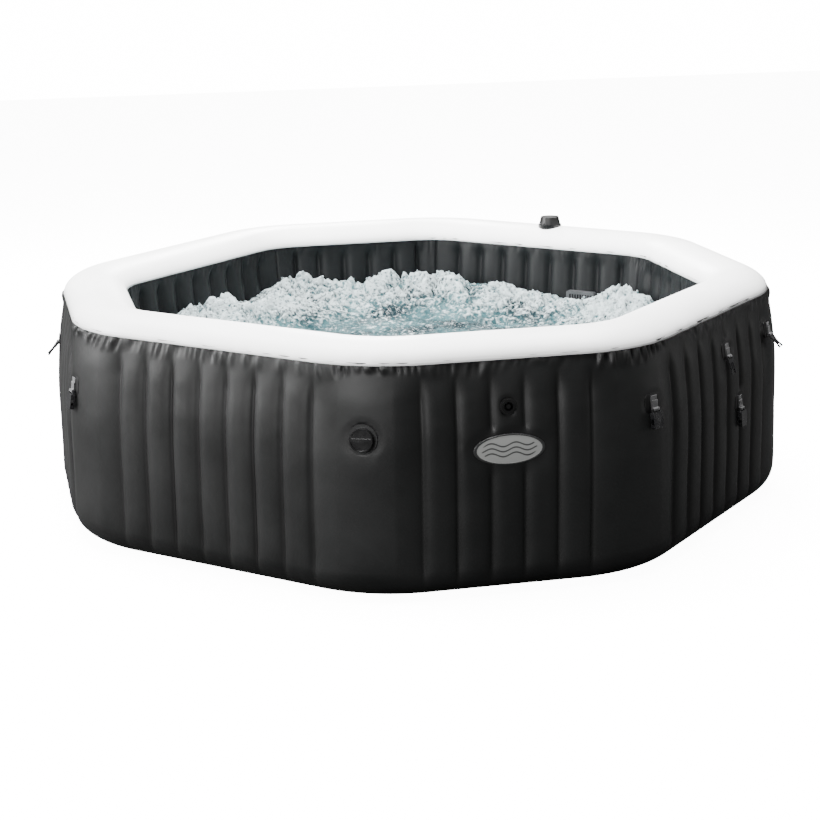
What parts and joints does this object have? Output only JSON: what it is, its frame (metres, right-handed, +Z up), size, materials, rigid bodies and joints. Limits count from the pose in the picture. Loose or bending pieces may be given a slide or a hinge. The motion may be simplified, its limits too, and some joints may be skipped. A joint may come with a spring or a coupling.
{
  "type": "inflatable hot tub",
  "caption": "Octagonal inflatable hot tub: ribbed black vinyl walls, padded white rim, valves, rim control, hose ports, drain and cover buckles.",
  "frame": {"origin": "middle of the footprint, on the floor", "axes": "+Z up; -Y is the short side with the badge; the hose ports are on the long side between +X and +Y"},
  "size_m": [2.2134, 2.2128, 0.7246],
  "materials": {
    "black_vinyl": "laminated vinyl, satin with a fine leathery emboss",
    "inner_vinyl": "laminated vinyl, dark blue grey, satin",
    "white_vinyl": "smooth white vinyl, soft sheen",
    "floor_vinyl": "laminated vinyl floor, satin",
    "web_mesh": "vinyl coated fibre mesh",
    "fitting_plastic": "moulded black plastic",
    "knob_plastic": "moulded black plastic with flutes",
    "grille_plastic": "moulded grey plastic",
    "buckle_plastic": "black acetal, slightly glossy",
    "badge_plastic": "light grey printed plate, satin",
    "webbing": "woven black webbing",
    "seal_rubber": "soft black rubber",
    "spring_steel": "stainless spring wire"
  },
  "bodies": {
    "tub": {"air_flange": "black_vinyl", "air_pipe": "fitting_plastic", "air_stub": "fitting_plastic", "back_buckle_patch": "black_vinyl", "back_buckle_webbing": "webbing", "back_clip_patch": "black_vinyl", "back_clip_webbing": "webbing", "badge_plate": "badge_plastic", "base_sheet": "floor_vinyl", "bubble_duct": "inner_vinyl", "control_body": "fitting_plastic", "drain_body": "fitting_plastic", "drain_valve": "seal_rubber", "front_right_buckle_patch": "black_vinyl", "front_right_buckle_webbing": "webbing", "inlet_grille": "grille_plastic", "inlet_nut": "fitting_plastic", "inlet_seal": "seal_rubber", "inlet_sleeve": "fitting_plastic", "inlet_stub": "fitting_plastic", "inner_wall": "inner_vinyl", "left_buckle_patch": "black_vinyl", "left_buckle_webbing": "webbing", "left_clip_patch": "black_vinyl", "left_clip_webbing": "webbing", "outer_wall": "black_vinyl", "outlet_grille": "grille_plastic", "outlet_nut": "fitting_plastic", "outlet_seal": "seal_rubber", "outlet_sleeve": "fitting_plastic", "outlet_stub": "fitting_plastic", "relief_body": "fitting_plastic", "relief_flange": "black_vinyl", "right_buckle_patch": "black_vinyl", "right_buckle_webbing": "webbing", "right_clip_patch": "black_vinyl", "right_clip_webbing": "webbing", "right_corner_clip_patch": "black_vinyl", "right_corner_clip_webbing": "webbing", "tension_webs": "web_mesh", "top_rim": "white_vinyl", "valve_body": "fitting_plastic", "valve_flange": "black_vinyl", "valve_spring": "spring_steel", "relief_spring": "spring_steel"},
    "valve_cap": {"valve_cap": "fitting_plastic"},
    "valve_plunger": {"valve_plunger": "fitting_plastic"},
    "relief_plunger": {"relief_plunger": "fitting_plastic"},
    "control_knob": {"control_knob": "knob_plastic", "control_drum": "fitting_plastic"},
    "drain_cap": {"drain_cap": "fitting_plastic"},
    "back_buckle": {"back_buckle": "buckle_plastic"},
    "back_clip": {"back_clip": "buckle_plastic"},
    "front_right_buckle": {"front_right_buckle": "buckle_plastic"},
    "left_buckle": {"left_buckle": "buckle_plastic"},
    "left_clip": {"left_clip": "buckle_plastic"},
    "right_buckle": {"right_buckle": "buckle_plastic"},
    "right_clip": {"right_clip": "buckle_plastic"},
    "right_corner_clip": {"right_corner_clip": "buckle_plastic"}
  },
  "joints": [
    {"name": "valve_cap_turn", "type": "hinge", "parent": "tub", "child": "valve_cap", "pos_m": [-0.38293, -1.04934, 0.446], "axis": [-0.4056, -0.911, 0.0751], "range_deg": [0, 90]},
    {"name": "valve_push", "type": "slide", "parent": "tub", "child": "valve_plunger", "axis": [0.4056, 0.911, -0.0751], "range_m": [0, 0.006], "stiffness_N_per_m": 400, "deforming": ["valve_spring"]},
    {"name": "relief_push", "type": "slide", "parent": "tub", "child": "relief_plunger", "axis": [0, 0.9929, -0.1193], "range_m": [0, 0.004], "stiffness_N_per_m": 400, "deforming": ["relief_spring"]},
    {"name": "control_turn", "type": "hinge", "parent": "tub", "child": "control_knob", "pos_m": [0.64948, 0.64948, 0.69], "axis": [0, 0, 1], "range_deg": [0, 270]},
    {"name": "drain_cap_turn", "type": "hinge", "parent": "tub", "child": "drain_cap", "pos_m": [0, 1.09, 0.105], "axis": [0, 1, 0], "range_deg": [0, 360]},
    {"name": "back_buckle_swing", "type": "hinge", "parent": "tub", "child": "back_buckle", "pos_m": [-0.37572, 1.06071, 0.4528], "axis": [0.9239, 0.3827, 0], "range_deg": [0, 95]},
    {"name": "back_clip_swing", "type": "hinge", "parent": "tub", "child": "back_clip", "pos_m": [-0.73848, 0.73848, 0.49508], "axis": [0.7071, 0.7071, 0], "range_deg": [-20, 70]},
    {"name": "front_right_buckle_swing", "type": "hinge", "parent": "tub", "child": "front_right_buckle", "pos_m": [0.42231, -1.03706, 0.46287], "axis": [-0.8704, -0.4924, 0], "range_deg": [0, 95]},
    {"name": "left_buckle_swing", "type": "hinge", "parent": "tub", "child": "left_buckle", "pos_m": [-1.07872, -0.32267, 0.4528], "axis": [-0.2588, 0.9659, 0], "range_deg": [0, 95]},
    {"name": "left_clip_swing", "type": "hinge", "parent": "tub", "child": "left_clip", "pos_m": [-1.08937, 0.152, 0.49508], "axis": [0, 1, 0], "range_deg": [-20, 70]},
    {"name": "right_buckle_swing", "type": "hinge", "parent": "tub", "child": "right_buckle", "pos_m": [0.82807, -0.6612, 0.34215], "axis": [-0.7071, -0.7071, 0], "range_deg": [0, 95]},
    {"name": "right_clip_swing", "type": "hinge", "parent": "tub", "child": "right_clip", "pos_m": [0.76689, -0.70749, 0.51118], "axis": [-0.7071, -0.7071, 0], "range_deg": [0, 70]},
    {"name": "right_corner_clip_swing", "type": "hinge", "parent": "tub", "child": "right_corner_clip", "pos_m": [0.9932, -0.47758, 0.5132], "axis": [-0.6293, -0.7771, 0], "range_deg": [-20, 70]}
  ]
}
